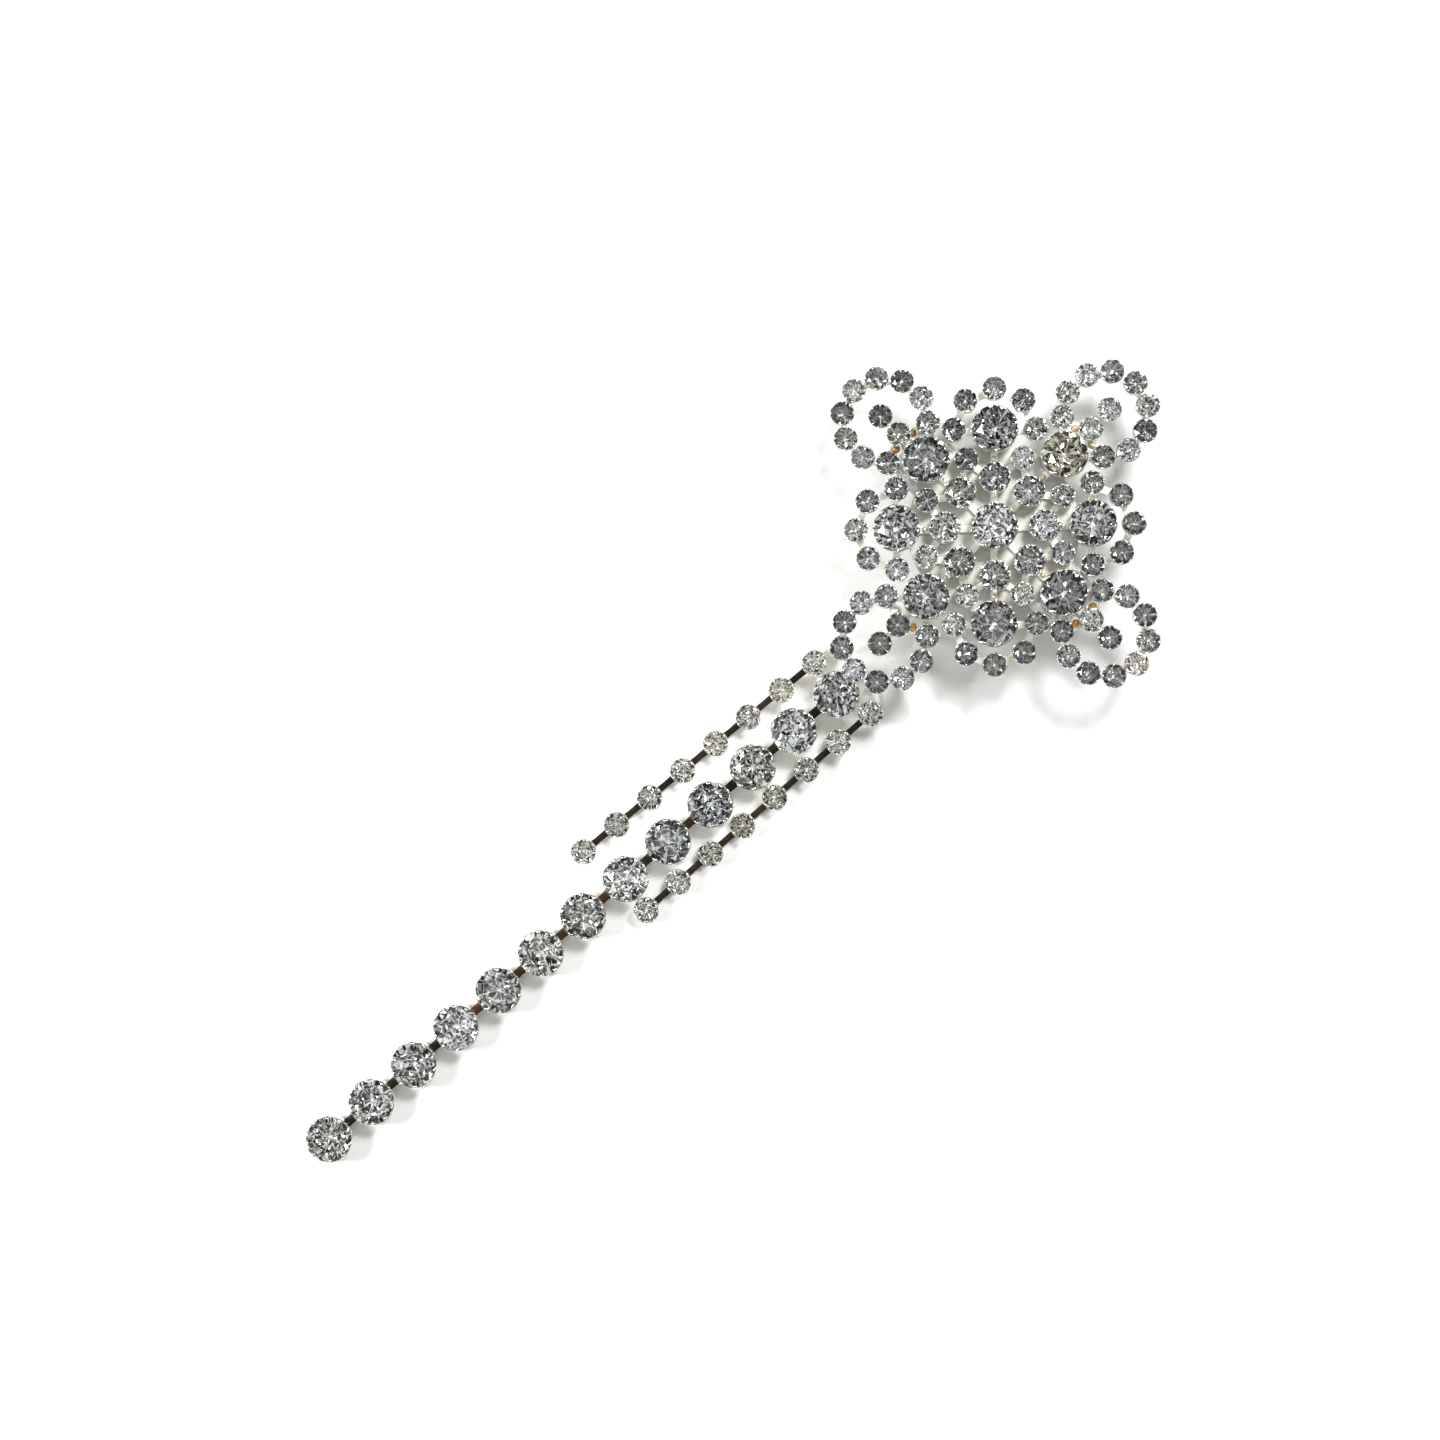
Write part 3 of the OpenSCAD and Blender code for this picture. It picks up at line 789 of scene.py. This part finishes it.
beads = Soup()
rng = random.Random(9)
for k, points in enumerate(islands("solder_beads", TO_HEAD)):
    x, y, _ = middle(points) / MM
    r = np.ptp(points[:, 0]) / 2 / MM
    blob, faces = blob_mesh(r * 1.02, k)
    at = HEAD @ SCALE @ Matrix.Translation((x, y, points[:, 2].min() / MM + 0.1 * r))
    beads.add(blob, faces, at, None, rng.choice(solder_colours(x, y, r)))
bead_piece = beads.build("solder_drops", [SOLDER], smooth=True)
settle(bead_piece, "head", "solder", "solder_beads")


TUBE_SIDES = 16


def tube(name, route, r, material, place):
    """A round tube along a route of points in mm."""
    points, faces = [], []
    n = len(route)
    for i, p in enumerate(route):
        ahead = Vector(route[min(i + 1, n - 1)]) - Vector(route[max(i - 1, 0)])
        ahead.normalize()
        u = ahead.cross(Vector((0.1, 1, 0.2))).normalized()
        v = ahead.cross(u)
        for k in range(TUBE_SIDES):
            a = k * math.tau / TUBE_SIDES
            points.append(tuple(Vector(p) + r * (math.cos(a) * u + math.sin(a) * v)))
    for i in range(n - 1):
        for k in range(TUBE_SIDES):
            k1 = (k + 1) % TUBE_SIDES
            here, after = i * TUBE_SIDES, (i + 1) * TUBE_SIDES
            faces.append((here + k, here + k1, after + k1, after + k))
    faces.append(tuple(reversed(range(TUBE_SIDES))))
    faces.append(tuple((n - 1) * TUBE_SIDES + k for k in range(TUBE_SIDES)))
    soup = Soup()
    soup.add(points, faces, place @ SCALE)
    return soup.build(name, [material], smooth=True)


# The clip's own frame is the ornament's turned half round: its lever is at -X
CLIP = HEAD @ Matrix.Rotation(math.pi, 4, "Z")
pin = middle(islands("clip_pin", CLIP.inverted())[0]) / MM
spring_solid = islands("clip_spring", CLIP.inverted())[0] / MM
# The spring's sizes in mm. Each leg bends off the coil at a knee, given from the pin
SPRING_TURNS, SPRING_R, SPRING_W, SPRING_WIRE = 5, 1.15, 4.2, 0.27
LEG, LEG_GAP, UPPER_LEG_Z = 7.0, 0.02, -0.34
UPPER_KNEE, LOWER_KNEE = (-2.2, 1.55), (-2.4, -1.3)
COIL_STEPS = 28
COIL_START, COIL_END = 8, COIL_STEPS * SPRING_TURNS - 8
low_leg = spring_solid[:, 2].min() + SPRING_WIRE + LEG_GAP
route = [
    (pin[0] - LEG, -SPRING_W / 2, UPPER_LEG_Z),
    (pin[0] + UPPER_KNEE[0], -SPRING_W / 2, pin[2] + UPPER_KNEE[1]),
]
for i in range(COIL_START, COIL_END):
    t = i / COIL_STEPS
    route.append((
        pin[0] + SPRING_R * math.cos(math.tau * t), SPRING_W * (t / SPRING_TURNS - 0.5),
        pin[2] + SPRING_R * math.sin(math.tau * t)
    ))
route += [
    (pin[0] + LOWER_KNEE[0], SPRING_W / 2, pin[2] + LOWER_KNEE[1]),
    (pin[0] - LEG, SPRING_W / 2, low_leg),
]
spring = tube("coiled_spring", route, SPRING_WIRE, SPRING_STEEL, CLIP)
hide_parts("clip_spring")
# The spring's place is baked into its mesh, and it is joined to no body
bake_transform(spring)

# CAD nodes that keep their own shape and get a metal
DRESS = {
    "core_frame": FRAME_METAL, "trefoil_frames": FRAME_METAL, "mounting_plate": BACK_PLATE_PAINTED_SHADE,
    "upper_loop_frame": FRAME_METAL, "lower_loop_frame": FRAME_METAL,
    "left_loop_frame": FRAME_METAL, "right_loop_frame": FRAME_METAL,
    "clip_top_jaw": CLIP_STEEL, "clip_lower_jaw": CLIP_STEEL, "clip_pin": PIN_STEEL,
    "centre_hanger": WIRE_METAL, "left_hanger": WIRE_METAL, "right_hanger": WIRE_METAL,
}
for name, material in DRESS.items():
    mesh = frame["nodes"][name].data
    mesh.materials.clear()
    mesh.materials.append(material)

# ---------------------------------------------------------------- table, lights, camera

TABLE_Z = cad_box[0].z
TABLE_HALF = 1.5
# The camera's place over the table, in metres, its angle of view and its turn about the vertical
VIEW_X, VIEW_Y = -0.00793, -0.04204
VIEW_HEIGHT = 0.33
VIEW_ANGLE = math.radians(31.8)
VIEW_ROLL = math.radians(44.43)


def table_material():
    mat, tree, shader = new_material("white_table")
    soft = noise_at(tree, 25.0, 2.0)
    colour = ramp(
        tree, soft.outputs["Fac"], [(0.3, (0.90, 0.90, 0.90)), (0.7, (0.92, 0.92, 0.915))]
    )
    tree.links.new(colour, shader.inputs["Base Color"])
    shader.inputs["Roughness"].default_value = 0.7
    shader.inputs["Specular IOR Level"].default_value = 0.2
    return mat


floor_mesh = bpy.data.meshes.new("table")
corners = [(-1, -1), (1, -1), (1, 1), (-1, 1)]
floor_mesh.from_pydata(
    [(x * TABLE_HALF, y * TABLE_HALF, TABLE_Z) for x, y in corners], [], [(0, 1, 2, 3)]
)
floor_mesh.materials.append(table_material())
add_object("table", floor_mesh)


def from_view(right, up, over):
    """A place given as the camera sees it: metres from the view's middle, and over the table."""
    c, s = math.cos(VIEW_ROLL), math.sin(VIEW_ROLL)
    return (VIEW_X + right * c - up * s, VIEW_Y + right * s + up * c, TABLE_Z + over)


def softbox(name, place, size, power, target):
    light = bpy.data.lights.new(name, "AREA")
    light.shape = "RECTANGLE"
    light.size, light.size_y = size
    light.energy = power
    obj = add_object(name, light)
    obj.location = place
    aim = Vector(target) - Vector(place)
    obj.rotation_euler = aim.to_track_quat("-Z", "Y").to_euler()


softbox("softbox_left", from_view(-0.27, 0.0, 0.2), (0.1, 0.1), 1.25, from_view(-0.07, -0.04, 0))
softbox(
    "softbox_back", from_view(0.15, 0.235, 0.36), (0.12, 0.12), 1.75, from_view(0.036, 0.025, 0)
)

world = bpy.data.worlds.new("studio")
world.use_nodes = True
bpy.context.scene.world = world
tree = world.node_tree
tree.nodes.clear()
sky_out = tree.nodes.new("ShaderNodeOutputWorld")
sky = tree.nodes.new("ShaderNodeBackground")
direction = tree.nodes.new("ShaderNodeTexCoord")
steepness = tree.nodes.new("ShaderNodeSeparateXYZ")
tree.links.new(direction.outputs["Generated"], steepness.inputs[0])
# Even walls all round, and a dark ceiling with bright panels
WALL_LEVEL, PANEL_TINT, SKY_STRENGTH = 0.3, 0.1, 0.66
walls = ramp(tree, steepness.outputs["Z"], [(0.0, (1.0,)), (0.45, (1.0,)), (0.62, (0.0,))])
panels = node(tree, "ShaderNodeTexVoronoi", Scale=11.0, Randomness=0.9)
tree.links.new(direction.outputs["Generated"], panels.inputs["Vector"])
shade = ramp(
    tree, panels.outputs["Color"],
    [
        (0.0, (0.015,)), (0.42, (0.04,)), (0.54, (0.2,)),
        (0.66, (0.6,)), (0.72, (1.9,)), (1.0, (3.4,)),
    ]
)
# Each panel is a little tinted, as cut glass splits light
tinted = node(tree, "ShaderNodeMix", data_type="RGBA", blend_type="MULTIPLY")
tinted.inputs["Factor"].default_value = PANEL_TINT
tree.links.new(shade, tinted.inputs["A"])
tree.links.new(panels.outputs["Color"], tinted.inputs["B"])
glow = node(tree, "ShaderNodeMix", data_type="RGBA")
tree.links.new(walls, glow.inputs["Factor"])
tree.links.new(tinted.outputs["Result"], glow.inputs["A"])
glow.inputs["B"].default_value = (WALL_LEVEL, WALL_LEVEL, WALL_LEVEL, 1)
tree.links.new(glow.outputs["Result"], sky.inputs["Color"])
sky.inputs["Strength"].default_value = SKY_STRENGTH
tree.links.new(sky.outputs[0], sky_out.inputs[0])

camera = bpy.data.cameras.new("camera")
camera.angle = VIEW_ANGLE
camera.clip_start, camera.clip_end = 0.01, 10
camera_object = add_object("camera", camera)
camera_object.location = (VIEW_X, VIEW_Y, TABLE_Z + VIEW_HEIGHT)
camera_object.rotation_euler = (0, 0, VIEW_ROLL)
bpy.context.scene.camera = camera_object
bpy.context.scene.view_settings.view_transform = "Standard"
